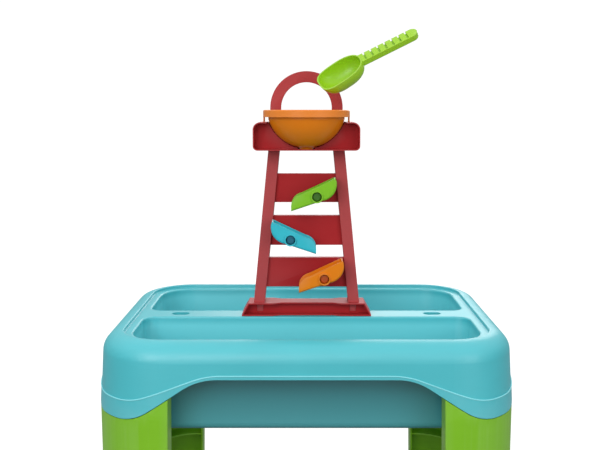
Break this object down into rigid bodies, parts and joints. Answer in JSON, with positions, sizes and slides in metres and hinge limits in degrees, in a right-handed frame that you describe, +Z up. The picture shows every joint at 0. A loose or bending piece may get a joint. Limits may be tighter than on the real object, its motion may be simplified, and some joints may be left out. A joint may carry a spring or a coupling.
{
  "type": "sand and water table",
  "caption": "Child's sand and water play table on corner legs: two-compartment tub with a lift-off tower that carries a sieve bowl and tipping troughs, and a scoop.",
  "frame": {"origin": "centre of the footprint on the floor", "axes": "+Z up, +X to the right along the long side, -Y towards the player at the front"},
  "size_m": [0.6946, 0.514, 0.9219],
  "materials": {
    "tub_plastic": "satin",
    "leg_plastic": "satin",
    "tower_plastic": "satin",
    "bowl_plastic": "satin",
    "green_plastic": "satin",
    "blue_plastic": "satin",
    "scoop_plastic": "satin",
    "plug_plastic": "satin",
    "screw_steel": "satin"
  },
  "bodies": {
    "table": {"tub": "tub_plastic", "front_left_leg": "leg_plastic", "front_right_leg": "leg_plastic", "rear_left_leg": "leg_plastic", "rear_right_leg": "leg_plastic", "leg_screws": "screw_steel"},
    "front_drain": {"front_drain_plug": "plug_plastic"},
    "rear_drain": {"rear_drain_plug": "plug_plastic"},
    "tower": {"tower_base": "tower_plastic", "ladder_frame": "tower_plastic", "sieve_cradle": "tower_plastic", "tower_handle": "tower_plastic", "tower_screws": "screw_steel", "upper_pivot_pin": "tower_plastic", "middle_pivot_pin": "tower_plastic", "lower_pivot_pin": "tower_plastic", "upper_pin_cap": "green_plastic", "middle_pin_cap": "blue_plastic", "lower_pin_cap": "bowl_plastic"},
    "upper_trough": {"upper_tipper": "green_plastic"},
    "middle_trough": {"middle_tipper": "blue_plastic"},
    "lower_trough": {"lower_tipper": "bowl_plastic"},
    "bowl": {"sieve_bowl": "bowl_plastic"},
    "scoop_body": {"scoop": "scoop_plastic"}
  },
  "joints": [
    {"name": "tower_lift", "type": "slide", "parent": "table", "child": "tower", "axis": [0, 0, 1], "range_m": [0, 0.15]},
    {"name": "upper_tip", "type": "hinge", "parent": "tower", "child": "upper_trough", "pos_m": [0.0182, -0.05, 0.634], "axis": [0, 1, 0], "range_deg": [0, 45]},
    {"name": "middle_tip", "type": "hinge", "parent": "tower", "child": "middle_trough", "pos_m": [-0.0279, -0.05, 0.5583], "axis": [0, -1, 0], "range_deg": [0, 45]},
    {"name": "lower_tip", "type": "hinge", "parent": "tower", "child": "lower_trough", "pos_m": [0.0316, -0.05, 0.4888], "axis": [0, 1, 0], "range_deg": [0, 45]},
    {"name": "bowl_lift", "type": "slide", "parent": "tower", "child": "bowl", "axis": [0, 0, 1], "range_m": [0, 0.12]},
    {"name": "scoop_lift", "type": "slide", "parent": "bowl", "child": "scoop_body", "axis": [0, 0, 1], "range_m": [0, 0.15]},
    {"name": "front_plug_lift", "type": "slide", "parent": "table", "child": "front_drain", "axis": [0, 0, 1], "range_m": [0, 0.04]},
    {"name": "rear_plug_lift", "type": "slide", "parent": "table", "child": "rear_drain", "axis": [0, 0, 1], "range_m": [0, 0.04]}
  ]
}
